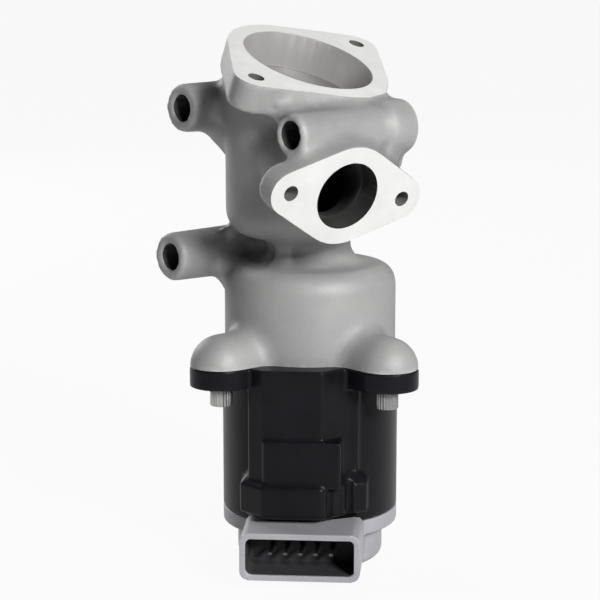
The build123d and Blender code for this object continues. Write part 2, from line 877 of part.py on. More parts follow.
def end_cap():
    cap = fillet(disc(cap_radius, 0, cap_height).edges().group_by(Axis.Z)[0], cap_corner)
    cap += disc(housing_radius, cap_height, cap_rim_top)
    spigot = housing_inner_radius - seat_gap
    cap += disc(spigot, cap_rim_top, cap_spigot_top)
    block = socket_block(0, socket_reach, cap_radius / 2)
    cap += block - disc(housing_radius + sliding_gap, cap_rim_top, joint_height)
    cap -= disc(cap_radius - cap_wall, cap_floor, cap_rim_top)
    cap -= disc(spigot - cap_spigot_wall, cap_rim_top - 1, cap_spigot_top)
    cap -= socket_block(socket_wall, socket_reach, socket_reach - socket_depth)
    for index in range(board_post_count):
        spot = azimuth(360 / board_post_count * (index + 0.5)) * (board_radius - board_edge)
        cap += Pos(spot.X, spot.Y, 0) * disc(board_post_radius, cap_floor - 1, board_bottom)
    seal_mid = (cap_rim_top + cap_spigot_top) / 2
    cap -= ring(
        housing_radius, housing_inner_radius - 2 * cap_seal_radius, seal_mid - cap_seal_radius,
        seal_mid + cap_seal_radius)
    for pin in connector_pins().solids():
        cap -= pin
    return cap


def cap_seal():
    middle = (cap_rim_top + cap_spigot_top) / 2
    radius = cap_seal_radius - sliding_gap
    return Pos(0, 0, middle) * Torus(housing_inner_radius - cap_seal_radius - sliding_gap, radius)


def sensor_board():
    return disc(board_radius, board_bottom, board_top)


def hall_sensor():
    return Pos(0, 0, board_top + chip_height / 2) * Box(chip_size, chip_size, chip_height)


def motor_terminals():
    top = core_bottom - bobbin_wall - coil_thickness
    blades = []
    for side in (-1, 1):
        place = Pos(side * terminal_side, terminal_back, (top + board_top) / 2)
        blades.append(place * Box(terminal_width, terminal_thickness, top - board_top))
    return Compound(children=blades)


def cross_pin():
    half = guide_radius - sliding_gap
    return rod(Vector(-half, 0, pin_height), Vector(1, 0, 0), 2 * half, pin_radius)


def cam_roller(side):
    start = Vector(side * (rotor_inner_radius + slot_gap), 0, pin_height)
    along = Vector(side, 0, 0)
    length = rotor_wall - 2 * slot_gap
    return rod(start, along, length, roller_radius) - rod(start, along, length, pin_radius + sliding_gap)


def pin_spacers():
    spacers = []
    for side in (-1, 1):
        start = Vector(side * (stem_radius + slot_gap), 0, pin_height)
        along = Vector(side, 0, 0)
        length = rotor_inner_radius - stem_radius - slot_gap
        bore = rod(start, along, length, pin_radius + sliding_gap)
        spacers.append(rod(start, along, length, spacer_radius) - bore)
    return Compound(children=spacers)


pieces = {
    "valve_housing": valve_housing(),
    "valve_seat": valve_seat(),
    "stem_guide_bush": stem_guide_bush(),
    "stem_seal": stem_seal(),
    "spring_seat_washer": spring_seat_washer(),
    "return_spring": return_spring(),
    "spring_retainer": spring_retainer(),
    "retainer_clip": retainer_clip(),
    "valve_stem": valve_stem(),
    "poppet_disc": poppet_disc(),
    "guide_sleeve": guide_sleeve(),
    "guide_screws": guide_screws(),
    "upper_rotor_bush": upper_rotor_bush(),
    "rotor_sleeve": rotor_sleeve(),
    "rotor_core": rotor_core(),
    "rotor_magnets": rotor_magnets(),
    "magnet_carrier": magnet_carrier(),
    "sensor_magnet": sensor_magnet(),
    "stator_core": stator_core(),
    "coil_bobbins": coil_bobbins(),
    "stator_coils": stator_coils(),
    "bearing_plate": bearing_plate(),
    "lower_rotor_bush": lower_rotor_bush(),
    "motor_housing": motor_housing(),
    "joint_seal": joint_seal(),
    "compression_limiters": compression_limiters(),
    "screw_washers": screw_washers(),
    "motor_screws": motor_screws(),
    "end_cap": end_cap(),
    "cap_seal": cap_seal(),
    "connector_pins": connector_pins(),
    "sensor_board": sensor_board(),
    "hall_sensor": hall_sensor(),
    "motor_terminals": motor_terminals(),
    "cross_pin": cross_pin(),
    "pin_spacers": pin_spacers(),
    "cam_roller_right": cam_roller(1),
    "cam_roller_left": cam_roller(-1),
}

for name, shape in pieces.items():
    export_step(shape, f"parts/{name}.step")
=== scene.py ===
import bpy
import json
from math import cos, pi, radians, sin
from mathutils import Matrix, Vector


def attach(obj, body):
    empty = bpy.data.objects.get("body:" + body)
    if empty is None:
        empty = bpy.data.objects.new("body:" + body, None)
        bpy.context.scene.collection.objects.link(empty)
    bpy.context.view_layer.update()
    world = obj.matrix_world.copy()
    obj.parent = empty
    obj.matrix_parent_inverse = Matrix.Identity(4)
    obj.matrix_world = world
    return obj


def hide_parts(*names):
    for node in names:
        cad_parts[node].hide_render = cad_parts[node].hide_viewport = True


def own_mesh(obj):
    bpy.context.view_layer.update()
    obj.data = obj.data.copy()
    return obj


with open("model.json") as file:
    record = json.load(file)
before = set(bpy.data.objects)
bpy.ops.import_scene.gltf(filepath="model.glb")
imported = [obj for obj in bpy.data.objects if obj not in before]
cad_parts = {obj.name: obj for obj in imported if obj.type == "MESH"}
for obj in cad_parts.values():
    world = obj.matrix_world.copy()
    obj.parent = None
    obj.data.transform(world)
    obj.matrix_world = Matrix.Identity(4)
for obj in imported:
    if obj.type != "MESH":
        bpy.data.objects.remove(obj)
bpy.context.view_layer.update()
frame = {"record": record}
mm = 0.001
up = Vector((0, 0, 1))


# directions: azimuths are turned from the plug socket towards +X
def azimuth(degrees):
    return Vector((sin(radians(degrees)), -cos(radians(degrees)), 0))


def leaning(degrees, tilt):
    level = azimuth(degrees) * sin(radians(tilt))
    return Vector((level.x, level.y, cos(radians(tilt))))


# picking and shaping pieces
def deselectAll():
    bpy.ops.object.select_all(action="DESELECT")


def workOn(piece):
    deselectAll()
    piece.select_set(True)
    bpy.context.view_layer.objects.active = piece


def editAll(piece):
    workOn(piece)
    bpy.ops.object.mode_set(mode="EDIT")
    bpy.ops.mesh.select_all(action="SELECT")


def editSome(piece, mode, test):
    # edit mode, with the faces or vertices selected that pass the test
    workOn(piece)
    bpy.ops.object.mode_set(mode="EDIT")
    bpy.ops.mesh.select_mode(type=mode)
    bpy.ops.mesh.select_all(action="DESELECT")
    bpy.ops.object.mode_set(mode="OBJECT")
    for item in piece.data.polygons if mode == "FACE" else piece.data.vertices:
        item.select = test(item)
    bpy.ops.object.mode_set(mode="EDIT")


def endEdit():
    bpy.ops.object.mode_set(mode="OBJECT")


def applyModifiers(piece):
    workOn(piece)
    for modifier in list(piece.modifiers):
        bpy.ops.object.modifier_apply(modifier=modifier.name)


def settle(piece):
    workOn(piece)
    bpy.ops.object.transform_apply(location=True, rotation=True, scale=True)


def joinPieces(pieces, name):
    deselectAll()
    for piece in pieces:
        piece.select_set(True)
    bpy.context.view_layer.objects.active = pieces[0]
    bpy.ops.object.join()
    pieces[0].name = name
    settle(pieces[0])
    return pieces[0]


def cleanCopy(node, name):
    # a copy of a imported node, with its loose triangles merged
    piece = bpy.data.objects.new(name, bpy.data.objects[node].data.copy())
    bpy.context.collection.objects.link(piece)
    piece.data.materials.clear()
    editAll(piece)
    bpy.ops.mesh.remove_doubles(threshold=1e-6)
    endEdit()
    return piece


def liesOn(face, centre, normal, gap=0.02 * mm):
    return face.normal.dot(normal) > 0.999 and abs((face.center - centre).dot(normal)) < gap


def growFace(piece, centre, normal, allowance):
    # machining allowance: the flat face is drawn out along its normal
    editSome(piece, "FACE", lambda face: liesOn(face, centre, normal))
    bpy.ops.mesh.extrude_region_move(TRANSFORM_OT_translate={"value": normal * allowance})
    endEdit()


def soften(piece, voxel, passes):
    remesh = piece.modifiers.new("remesh", "REMESH")
    remesh.mode = "VOXEL"
    remesh.voxel_size = voxel
    smooth = piece.modifiers.new("smooth", "SMOOTH")
    smooth.factor = 0.5
    smooth.iterations = passes
    applyModifiers(piece)


def fillCreases(piece, voxel, radius):
    # grown, merged and shrunk back, so that the creases and narrow gaps come out filled
    for strength in (radius, -radius):
        remesh = piece.modifiers.new("remesh", "REMESH")
        remesh.mode = "VOXEL"
        remesh.voxel_size = voxel
        smooth = piece.modifiers.new("smooth", "SMOOTH")
        smooth.iterations = 2
        shift = piece.modifiers.new("shift", "DISPLACE")
        shift.mid_level = 0
        shift.strength = strength
    applyModifiers(piece)


def addRod(start, direction, length, radius, sides=64):
    bpy.ops.mesh.primitive_cylinder_add(
        vertices=sides, radius=radius, depth=length, location=start + direction * length / 2,
        rotation=direction.to_track_quat("Z", "Y").to_euler())
    return bpy.context.object


def cutAway(piece, cutters):
    cutter = joinPieces(cutters, "cutter")
    cut = piece.modifiers.new("cut", "BOOLEAN")
    cut.operation = "DIFFERENCE"
    cut.solver = "MANIFOLD"
    cut.object = cutter
    applyModifiers(piece)
    bpy.data.objects.remove(cutter)


def roundShading(piece, degrees):
    workOn(piece)
    bpy.ops.object.shade_smooth_by_angle(angle=radians(degrees))


# node trees: an input gets a value, or the socket that feeds it
def addNode(tree, kind, inputs=(), **settings):
    node = tree.nodes.new(kind)
    for key, value in settings.items():
        setattr(node, key, value)
    for socket, value in inputs:
        if isinstance(value, bpy.types.NodeSocket):
            tree.links.new(value, node.inputs[socket])
        else:
            node.inputs[socket].default_value = value
    return node


def newGroup(name, inputs, outputs):
    group = bpy.data.node_groups.new(name, "ShaderNodeTree")
    for label, value in inputs.items():
        socket = group.interface.new_socket(
            name=label, in_out="INPUT", socket_type="NodeSocketFloat")
        socket.default_value = value
    for label in outputs:
        kind = "NodeSocketVector" if label == "Normal" else "NodeSocketFloat"
        group.interface.new_socket(name=label, in_out="OUTPUT", socket_type=kind)
    return group, group.nodes.new("NodeGroupInput").outputs, group.nodes.new("NodeGroupOutput").inputs


def grainGroup():
    # broad patches, a fine grain and the relief that both give
    group, given, result = newGroup(
        "surfaceGrain", {"Patch Scale": 60, "Grain Scale": 1500, "Relief": 0.2, "Depth": 0.0002},
        ("Patches", "Grain", "Normal"))
    place = addNode(group, "ShaderNodeTexCoord").outputs["Object"]
    patches = addNode(group, "ShaderNodeTexNoise", [
        ("Vector", place), ("Scale", given["Patch Scale"]), ("Detail", 3), ("Roughness", 0.6)])
    spread = addNode(group, "ShaderNodeMapRange", [
        ("Value", patches.outputs["Fac"]), ("From Min", 0.3), ("From Max", 0.7)])
    grain = addNode(group, "ShaderNodeTexNoise", [
        ("Vector", place), ("Scale", given["Grain Scale"]), ("Detail", 4), ("Roughness", 0.65)])
    height = addNode(group, "ShaderNodeMath", [
        (0, patches.outputs["Fac"]), (1, 0.8), (2, grain.outputs["Fac"])], operation="MULTIPLY_ADD")
    bump = addNode(group, "ShaderNodeBump", [
        ("Height", height.outputs[0]), ("Strength", given["Relief"]), ("Distance", given["Depth"])])
    group.links.new(spread.outputs["Result"], result["Patches"])
    group.links.new(grain.outputs["Fac"], result["Grain"])
    group.links.new(bump.outputs["Normal"], result["Normal"])
    return group


def wearAndShadeGroup():
    # rubbed edges, and corners darkened as dirt and painted shade
    group, given, result = newGroup(
        "edgeWearCornerShade", {"Width": 0.06, "Breakup": 300}, ("Edges", "CornerDirtShade"))
    point = addNode(group, "ShaderNodeNewGeometry").outputs["Pointiness"]  # 0.5 where it is flat
    place = addNode(group, "ShaderNodeTexCoord").outputs["Object"]
    broken = addNode(group, "ShaderNodeTexNoise", [
        ("Vector", place), ("Scale", given["Breakup"]), ("Detail", 3)])
    high = addNode(group, "ShaderNodeMath", [(0, given["Width"]), (1, 0.5)], operation="ADD")
    low = addNode(group, "ShaderNodeMath", [(0, 0.5), (1, given["Width"])], operation="SUBTRACT")
    edges = addNode(group, "ShaderNodeMapRange", [
        ("Value", point), ("From Min", 0.505), ("From Max", high.outputs[0])])
    cornerDirtAndShade = addNode(group, "ShaderNodeMapRange", [
        ("Value", point), ("From Min", low.outputs[0]), ("From Max", 0.495),
        ("To Min", 1), ("To Max", 0)])
    for label, mask in (("Edges", edges), ("CornerDirtShade", cornerDirtAndShade)):
        worn = addNode(group, "ShaderNodeMath", [
            (0, mask.outputs["Result"]), (1, broken.outputs["Fac"])], operation="MULTIPLY")
        fuller = addNode(group, "ShaderNodeMath", [
            (0, worn.outputs[0]), (1, 1.8)], operation="MULTIPLY", use_clamp=True)
        group.links.new(fuller.outputs[0], result[label])
    return group


def turnedGroup():
    # fine tool rings round the valve axis
    group, given, result = newGroup("turnedRings", {"Rings": 9000, "Relief": 0.15}, ("Normal",))
    place = addNode(group, "ShaderNodeTexCoord").outputs["Object"]
    parts = addNode(group, "ShaderNodeSeparateXYZ", [(0, place)]).outputs
    flat = addNode(group, "ShaderNodeCombineXYZ", [("X", parts["X"]), ("Y", parts["Y"])])
    radius = addNode(group, "ShaderNodeVectorMath", [(0, flat.outputs[0])], operation="LENGTH")
    run = addNode(group, "ShaderNodeMath", [
        (0, radius.outputs["Value"]), (1, parts["Z"])], operation="ADD")
    phase = addNode(group, "ShaderNodeMath", [
        (0, run.outputs[0]), (1, given["Rings"])], operation="MULTIPLY")
    wave = addNode(group, "ShaderNodeMath", [(0, phase.outputs[0])], operation="SINE")
    noise = addNode(group, "ShaderNodeTexNoise", [("Vector", place), ("Scale", 400), ("Detail", 2)])
    lines = addNode(group, "ShaderNodeMath", [
        (0, wave.outputs[0]), (1, noise.outputs["Fac"])], operation="MULTIPLY")
    bump = addNode(group, "ShaderNodeBump", [
        ("Height", lines.outputs[0]), ("Strength", given["Relief"]), ("Distance", 0.05 * mm)])
    group.links.new(bump.outputs["Normal"], result["Normal"])
    return group


surfaceGrain = grainGroup()
edgeWearCornerShade = wearAndShadeGroup()
turnedRings = turnedGroup()


def blendColours(tree, mask, *pair):
    first, second = [(*colour, 1) if isinstance(colour, tuple) else colour for colour in pair]
    mix = addNode(tree, "ShaderNodeMix", [("Factor", mask), (6, first), (7, second)], data_type="RGBA")
    return mix.outputs[2]


def scaled(tree, value, low, high):
    spread = addNode(tree, "ShaderNodeMapRange", [("Value", value), ("To Min", low), ("To Max", high)])
    return spread.outputs["Result"]


def makeFinish(name, look):
    material = bpy.data.materials.new(name)
    material.use_nodes = True
    tree = material.node_tree
    shader = tree.nodes["Principled BSDF"].inputs
    grain = addNode(tree, "ShaderNodeGroup", [
        ("Patch Scale", look["patchScale"]), ("Grain Scale", look["grainScale"]),
        ("Relief", look["relief"]), ("Depth", look["depth"])], node_tree=surfaceGrain).outputs
    colour = blendColours(tree, grain["Patches"], look["colour"], look["patchColour"])
    if "grainColour" in look:
        speckle = scaled(tree, grain["Grain"], 0, look["speckle"])
        colour = blendColours(tree, speckle, colour, look["grainColour"])
    if "edgeColour" in look:
        wear = addNode(
            tree, "ShaderNodeGroup", [("Width", look["wearWidth"])], node_tree=edgeWearCornerShade).outputs
        # corners darkened: dirt, and painted shade where shade falls in them
        dirty = scaled(tree, wear["CornerDirtShade"], 0, look["dirt"])
        colour = blendColours(tree, dirty, colour, look["dirtColour"])
        rubbed = scaled(tree, wear["Edges"], 0, look["wear"])
        colour = blendColours(tree, rubbed, colour, look["edgeColour"])
    tree.links.new(colour, shader["Base Color"])
    tree.links.new(scaled(tree, grain["Grain"], *look["roughness"]), shader["Roughness"])
    normal = grain["Normal"]
    if "rings" in look:
        rings = addNode(tree, "ShaderNodeGroup", [
            ("Rings", look["rings"]), ("Relief", look["ringRelief"])], node_tree=turnedRings)
        normal = rings.outputs["Normal"]
    tree.links.new(normal, shader["Normal"])
    shader["Metallic"].default_value = look["metallic"]
    shader["Specular IOR Level"].default_value = look["specular"]
    return material


def metal(colour, patch, roughness, **more):
    look = {
        "colour": colour, "patchColour": patch, "roughness": roughness, "metallic": 1, "specular": 0.5,
        "patchScale": 120, "grainScale": 1800, "relief": 0.08, "depth": 0.1 * mm,
    }
    look.update(more)
    return look


def plastic(colour, patch, roughness, **more):
    look = metal(colour, patch, roughness, metallic=0, relief=0.12)
    look.update(more)
    return look


# each finish: its colour, the colour of its patches and the span of its roughness
finishes = {
    "cast_aluminium": metal(
        (0.47, 0.47, 0.465), (0.38, 0.38, 0.38), (0.5, 0.66), metallic=0.2, specular=0.15,
        patchScale=45, grainScale=1300, relief=0.3, depth=0.25 * mm,
        grainColour=(0.2, 0.2, 0.2), speckle=0.25, wearWidth=0.05,
        dirt=0.8, dirtColour=(0.06, 0.06, 0.06), wear=0.5, edgeColour=(0.66, 0.66, 0.65)),
    "milled_aluminium": metal(
        (0.88, 0.88, 0.87), (0.8, 0.8, 0.79), (0.3, 0.46), metallic=0.35,
        patchScale=90, grainScale=2400, relief=0.06),
    "bored_aluminium": metal(
        (0.72, 0.71, 0.7), (0.6, 0.59, 0.58), (0.4, 0.55), metallic=0.5,
        patchScale=60, grainScale=1800, relief=0.1),
    # painted shade: the bolt holes are darkened for the shade inside them
    "hole_shade_aluminium": metal(
        (0.24, 0.235, 0.23), (0.17, 0.165, 0.16), (0.55, 0.7), metallic=0.3,
        patchScale=60, grainScale=1500, relief=0.2),
    # painted shade: the throat is darkened, as it faces up into the light more than the bored wall
    "throat_shade_aluminium": metal(
        (0.27, 0.265, 0.26), (0.21, 0.205, 0.2), (0.5, 0.65), metallic=0.3,
        patchScale=60, grainScale=1500, relief=0.15),
    # painted shade: the deep ways and the tube bores are painted near black for the shade in them
    "black_shade_aluminium": metal(
        (0.03, 0.03, 0.03), (0.06, 0.058, 0.055), (0.6, 0.8), metallic=0.2,
        patchScale=80, grainScale=1500, relief=0.3),
    "black_plastic": plastic(
        (0.005, 0.005, 0.007), (0.008, 0.008, 0.011), (0.3, 0.44), specular=0.12,
        patchScale=70, grainScale=2600, relief=0.15, wearWidth=0.08,
        dirt=0.4, dirtColour=(0.003, 0.003, 0.004), wear=0.3, edgeColour=(0.035, 0.035, 0.04)),
    "grey_plastic": plastic(
        (0.46, 0.455, 0.49), (0.39, 0.385, 0.42), (0.38, 0.55),
        patchScale=55, grainScale=2200, relief=0.12, wearWidth=0.08,
        dirt=0.5, dirtColour=(0.2, 0.2, 0.22), wear=0.35, edgeColour=(0.6, 0.6, 0.64)),
    # the inside of the plug socket is painted darker
    "socket_inside_darker": plastic(
        (0.07, 0.07, 0.075), (0.05, 0.05, 0.055), (0.4, 0.55), specular=0.15,
        patchScale=70, grainScale=2600, relief=0.12),
    "zinc_steel": metal((0.44, 0.44, 0.43), (0.29, 0.29, 0.29), (0.32, 0.48)),
    "steel": metal((0.5, 0.5, 0.5), (0.42, 0.42, 0.42), (0.25, 0.42), rings=9000, ringRelief=0.15),
    "stem_steel": metal(
        (0.46, 0.45, 0.44), (0.36, 0.34, 0.32), (0.28, 0.45), rings=6000, ringRelief=0.2),
    "seat_steel": metal(
        (0.42, 0.41, 0.4), (0.32, 0.3, 0.28), (0.3, 0.45), rings=7000, ringRelief=0.2),
    "bearing_steel": metal((0.72, 0.72, 0.73), (0.66, 0.66, 0.67), (0.1, 0.2)),
    "spring_steel": metal((0.35, 0.35, 0.36), (0.28, 0.28, 0.3), (0.25, 0.4)),
    "core_steel": metal(
        (0.3, 0.3, 0.31), (0.24, 0.24, 0.25), (0.4, 0.6), rings=12000, ringRelief=0.35),
    "bronze": metal((0.62, 0.45, 0.24), (0.5, 0.34, 0.17), (0.35, 0.55)),
    "copper": metal((0.68, 0.33, 0.16), (0.55, 0.24, 0.1), (0.25, 0.4), rings=11000, ringRelief=0.5),
    # painted shade: the pins are darkened for the shade inside the plug socket
    "tinned_brass": metal((0.13, 0.125, 0.115), (0.09, 0.085, 0.08), (0.4, 0.55)),
    "seal_rubber": plastic((0.02, 0.02, 0.02), (0.03, 0.03, 0.03), (0.5, 0.7)),
    "seal_ptfe": plastic((0.75, 0.74, 0.7), (0.68, 0.67, 0.62), (0.35, 0.5)),
    "bobbin_plastic": plastic((0.12, 0.12, 0.13), (0.16, 0.16, 0.17), (0.4, 0.55)),
    "board_green": plastic((0.02, 0.16, 0.07), (0.015, 0.12, 0.05), (0.2, 0.35)),
    "chip_black": plastic((0.02, 0.02, 0.02), (0.03, 0.03, 0.03), (0.45, 0.6)),
    "magnet": metal((0.22, 0.22, 0.23), (0.17, 0.17, 0.18), (0.45, 0.65)),
}
materials = {name: makeFinish(name, look) for name, look in finishes.items()}
print("finishes made:", len(materials))


def dress(piece, *finishNames):
    piece.data.materials.clear()  # a join or a cut can leave an empty slot
    for name in finishNames:
        piece.data.materials.append(materials[name])


def paintFaces(piece, finishName, test):
    slotIndex = piece.data.materials.find(finishName)
    for face in piece.data.polygons:
        if test(face):
            face.material_index = slotIndex


slotOfNode = {part["node"]: part["material_slot"] for part in frame["record"]["subparts"]}
for node, slotName in slotOfNode.items():
    dress(bpy.data.objects[node], slotName)
print("nodes dressed:", len(slotOfNode))

# the casting: soft as cast, then its faces milled and its holes bored
casting = {
    "voxel": 0.9 * mm, "passes": 8, "crease": 2.4 * mm, "shading": 40,
    "allowance": 1.6 * mm,  # left on each face that is milled
    "slab": 4 * mm, "margin": 1.2 * mm,  # how high and how far past the edge the mill clears
    "tubeCut": 9.4 * mm, "jointCut": 60 * mm,  # radii of the mill at the tube ends and the joint
    "drill": {"over": 6 * mm, "past": 2 * mm, "under": 1 * mm, "play": 0.02 * mm},
    "joint": Vector((0, 0, 69)) * mm,
    "outlet": {
        "centre": Vector((-0.6, 0, 164)) * mm, "normal": leaning(50, 22.5),
        "bolts": azimuth(-22.6), "roll": 0, "rim": 27 * mm, "lobe": 7.3 * mm, "spacing": 66 * mm,
        "bore": 21.5 * mm, "depth": 12 * mm, "boltHole": 2.6 * mm, "thickness": 10 * mm,
    },
    "inlet": {
        "centre": Vector((14.1, -36, 124.7)) * mm, "normal": leaning(38.5, 109),
        "bolts": up.cross(leaning(38.5, 109)), "roll": -7, "rim": 16.5 * mm, "lobe": 7.3 * mm,
        "spacing": 43 * mm, "bore": 11 * mm, "depth": 7.8 * mm, "boltHole": 2.5 * mm,
        "thickness": 8 * mm,
    },
    "tubeLine": azimuth(-45), "tubeAcross": azimuth(45), "tubeHole": 4.4 * mm,
    "tubes": [
        {"side": 27 * mm, "height": 143.8 * mm, "reach": 32 * mm, "back": 14 * mm},
        {"side": -27 * mm, "height": 148.4 * mm, "reach": 32.2 * mm, "back": 24 * mm},
        {"side": -27 * mm, "height": 100.4 * mm, "reach": 37.5 * mm, "back": 24 * mm},
    ],
    # between the front tube and the outlet flange
    "web": {
        "side": 20.5 * mm, "height": 146.8 * mm, "start": 4 * mm, "length": 24 * mm, "radius": 4.4 * mm,
    },
    # how close a face lies to what it is painted as
    "near": 0.1 * mm, "milledGap": 0.01 * mm, "rimGap": 1 * mm, "drillTip": 2 * mm,
    # the way up from the valve seat, painted darker as shade, and the ways painted black as shade
    "throat": {"foot": 140 * mm, "step": 0.3 * mm},
    "chamber": {
        "foot": Vector((-3, 0, 110.5)) * mm, "top": Vector((-3, 0, 138)) * mm, "radius": 17.8 * mm,
    },
    "seat": {
        "foot": Vector((0, 0, 130)) * mm, "top": Vector((0, 0, 141)) * mm, "radius": 18 * mm,
    },
    "duct": {"end": Vector((-3, 0, 125.5)) * mm, "radius": 10 * mm},
    "mouth": {"start": 0.5 * mm, "end": 10 * mm, "radius": 11.6 * mm},
}
outlet, inlet = flanges = casting["outlet"], casting["inlet"]
tubes, tubeLine, tubeHole = casting["tubes"], casting["tubeLine"], casting["tubeHole"]
drill = casting["drill"]


def tubeSpot(tube, along):
    spot = casting["tubeAcross"] * tube["side"] + tubeLine * along
    return Vector((spot.x, spot.y, tube["height"]))


def boltSpots(flange):
    normal = flange["normal"]
    line = flange["bolts"] - normal * flange["bolts"].dot(normal)
    line.rotate(Matrix.Rotation(radians(flange["roll"]), 3, normal))
    line.normalize()
    return [flange["centre"] + line * flange["spacing"] * side for side in (-0.5, 0.5)]


def flangeSlab(flange):
    # everything just above a flange's face, as the hull of three discs
    normal, height, margin = flange["normal"], casting["slab"], casting["margin"]
    discs = [addRod(flange["centre"], normal, height, flange["rim"] + margin, 96)]
    for spot in boltSpots(flange):
        discs.append(addRod(spot, normal, height, flange["lobe"] + margin, 48))
    slab = joinPieces(discs, "slab")
    editAll(slab)
    bpy.ops.mesh.convex_hull()
    endEdit()
    return slab


tubeFaces = [(tubeSpot(tube, -tube["back"]), -tubeLine) for tube in tubes]
milledFaces = [(flange["centre"], flange["normal"]) for flange in flanges]
milledFaces += tubeFaces + [(casting["joint"], -up)]

castBody = cleanCopy("valve_housing", "castBody")
for centre, normal in milledFaces:
    growFace(castBody, centre, normal, casting["allowance"])
web = casting["web"]
webRod = addRod(tubeSpot(web, web["start"]), tubeLine, web["length"], web["radius"])
castBody = joinPieces([castBody, webRod], "castBody")
fillCreases(castBody, casting["voxel"], casting["crease"])
soften(castBody, casting["voxel"], casting["passes"])

slabs = [flangeSlab(flange) for flange in flanges]
for centre, normal in tubeFaces:
    slabs.append(addRod(centre, normal, casting["slab"], casting["tubeCut"]))
slabs.append(addRod(casting["joint"], -up, casting["slab"], casting["jointCut"], 96))
cutAway(castBody, slabs)

drills = []
for flange in flanges:
    normal = flange["normal"]
    drills.append(addRod(
        flange["centre"] - normal * flange["depth"], normal, flange["depth"] + drill["over"],
        flange["bore"] + drill["play"], 128))
    below = flange["thickness"] + drill["under"]
    for spot in boltSpots(flange):
        drills.append(addRod(
            spot - normal * below, normal, below + drill["past"], flange["boltHole"], 48))
for tube in tubes:
    drills.append(addRod(
        tubeSpot(tube, -tube["back"] - drill["past"]), tubeLine,
        tube["back"] + tube["reach"] + 2 * drill["past"], tubeHole + drill["play"]))
cutAway(castBody, drills)


def fromAxis(face, start, direction):
    # how far along a line a face lies, and its offset from the line
    away = face.center - start
    along = away.dot(direction)
    return along, away - direction * along


def isMilled(face):
    return any(liesOn(face, centre, normal, casting["milledGap"]) for centre, normal in milledFaces)


def isBored(face):
    for flange in flanges:
        level, radial = fromAxis(face, flange["centre"], flange["normal"])
        within = -flange["depth"] < level < 0 and radial.length < flange["bore"] + casting["rimGap"]
        if within and face.normal.dot(radial) < 0:
            return True
    return False


def isThroat(face):
    # from the valve seat up to the step where the bored outlet starts
    normal, bore = outlet["normal"], outlet["bore"]
    level, radial = fromAxis(face, outlet["centre"], normal)
    if radial.length > bore + casting["rimGap"] or face.center.z < casting["throat"]["foot"]:
        return False
    if abs(level + outlet["depth"]) < casting["throat"]["step"]:
        return radial.length < bore + casting["near"]
    facing = face.normal.dot(radial) < 0 and face.normal.dot(normal) > -0.5
    return level < -outlet["depth"] and facing


boltHoles = [(flange, spot) for flange in flanges for spot in boltSpots(flange)]


def isBoltHole(face):
    for flange, spot in boltHoles:
        level, radial = fromAxis(face, spot, flange["normal"])
        within = -flange["thickness"] - casting["drillTip"] < level < 0
        if within and radial.length < flange["boltHole"] + casting["near"]:
            return True
    return False


def isTubeBore(face):
    for tube in tubes:
        radial = fromAxis(face, tubeSpot(tube, 0), tubeLine)[1]
        if abs(radial.length - tubeHole) < casting["near"] and abs(face.normal.dot(tubeLine)) < 0.05:
            return True
    return False


chamber, seat, duct, mouth = (casting[name] for name in ("chamber", "seat", "duct", "mouth"))
blackShadeWays = [
    (chamber["foot"], chamber["top"], chamber["radius"]),
    (seat["foot"], seat["top"], seat["radius"]),
    (inlet["centre"] - inlet["normal"] * inlet["depth"], duct["end"], duct["radius"]),
    (inlet["centre"] - inlet["normal"] * mouth["start"],
     inlet["centre"] - inlet["normal"] * mouth["end"], mouth["radius"]),
]


def isBlackShadeWay(face):
    for start, end, radius in blackShadeWays:
        along, radial = fromAxis(face, start, (end - start).normalized())
        if 0 < along < (end - start).length and radial.length < radius:
            return True
    return False


dress(castBody, "cast_aluminium", "milled_aluminium", "bored_aluminium", "black_shade_aluminium",
      "hole_shade_aluminium", "throat_shade_aluminium")
# painted shade: the throat coloured darker than the bored wall
paintFaces(castBody, "throat_shade_aluminium", isThroat)
# painted shade: the bolt hole walls coloured darker
paintFaces(castBody, "hole_shade_aluminium", isBoltHole)
paintFaces(castBody, "bored_aluminium", isBored)
# painted shade: the deep ways and the tube bores coloured near black
paintFaces(castBody, "black_shade_aluminium", isBlackShadeWay)
paintFaces(castBody, "black_shade_aluminium", isTubeBore)
paintFaces(castBody, "milled_aluminium", isMilled)
roundShading(castBody, casting["shading"])
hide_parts("valve_housing")
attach(castBody, "housing")
print("casting made:", len(castBody.data.polygons), "faces")

# the moulded motor housing, with its edges eased
moulding = {"voxel": 0.57 * mm, "passes": 2, "shading": 60}
motorShell = cleanCopy("motor_housing", "motorShell")
soften(motorShell, moulding["voxel"], moulding["passes"])
dress(motorShell, "black_plastic")
roundShading(motorShell, moulding["shading"])
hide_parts("motor_housing")
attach(motorShell, "housing")
print("motor housing made:", len(motorShell.data.polygons), "faces")

# the end cap, dark inside its plug socket
capMoulding = {
    "voxel": 0.45 * mm, "passes": 2, "shading": 60,
    "mouth": 44.5 * mm, "foot": 29.5 * mm, "half": 17.4 * mm, "floor": 5.6 * mm, "roof": 17.8 * mm,
}


def isInSocket(face):
    x, y, z = face.center
    return (capMoulding["foot"] < -y < capMoulding["mouth"] and abs(x) < capMoulding["half"]
            and capMoulding["floor"] < z < capMoulding["roof"])


plugCap = cleanCopy("end_cap", "plugCap")
soften(plugCap, capMoulding["voxel"], capMoulding["passes"])
dress(plugCap, "grey_plastic", "socket_inside_darker")
# the inside of the plug socket painted darker
paintFaces(plugCap, "socket_inside_darker", isInSocket)
roundShading(plugCap, capMoulding["shading"])
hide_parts("end_cap")
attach(plugCap, "housing")
print("end cap made:", len(plugCap.data.polygons), "faces")

